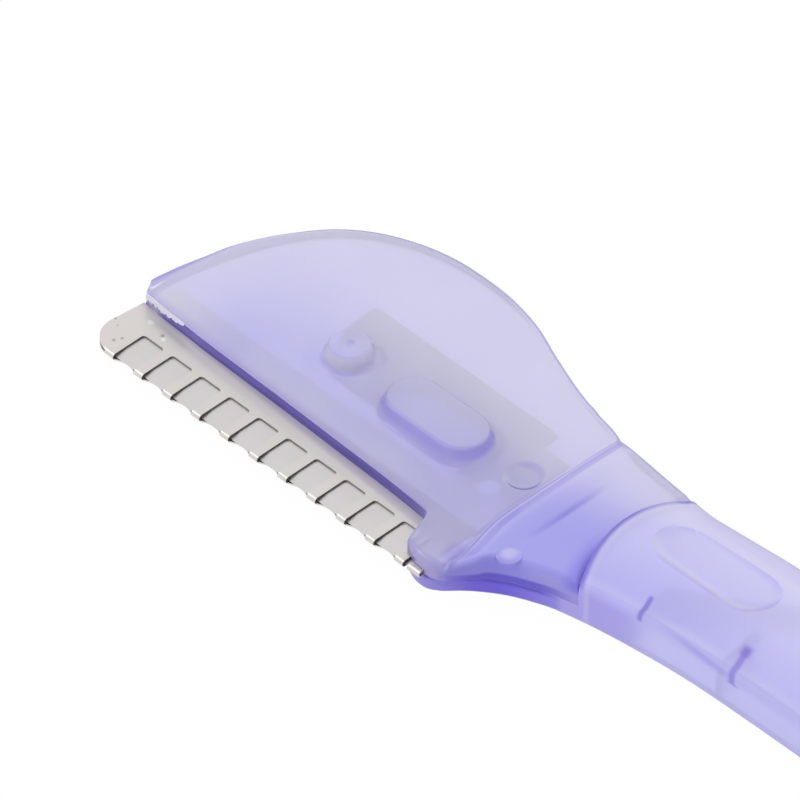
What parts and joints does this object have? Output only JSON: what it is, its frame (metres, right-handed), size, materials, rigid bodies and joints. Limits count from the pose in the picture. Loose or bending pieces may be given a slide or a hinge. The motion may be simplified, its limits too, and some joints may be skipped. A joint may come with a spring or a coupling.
{
  "type": "eyebrow razor",
  "caption": "Hand-held eyebrow razor: slim moulded handle, D-shaped head, and a straight steel blade behind a folded, windowed skin guard.",
  "frame": {"origin": "middle of the razor's length and width, on the flat back that it rests on", "axes": "+X from the head to the end of the handle, +Y from the cutting edge to the head's arc, +Z out of the front face"},
  "size_m": [0.15, 0.022, 0.0042],
  "materials": {
    "frosted_plastic_body": "frosted translucent lavender, satin",
    "frosted_plastic_cover": "frosted translucent lavender, satin",
    "blade_steel": "fine ground",
    "guard_steel": "rolled sheet, satin"
  },
  "bodies": {
    "root": {"handle_body": "frosted_plastic_body", "head_cover": "frosted_plastic_cover", "blade": "blade_steel", "blade_guard": "guard_steel"}
  },
  "joints": []
}
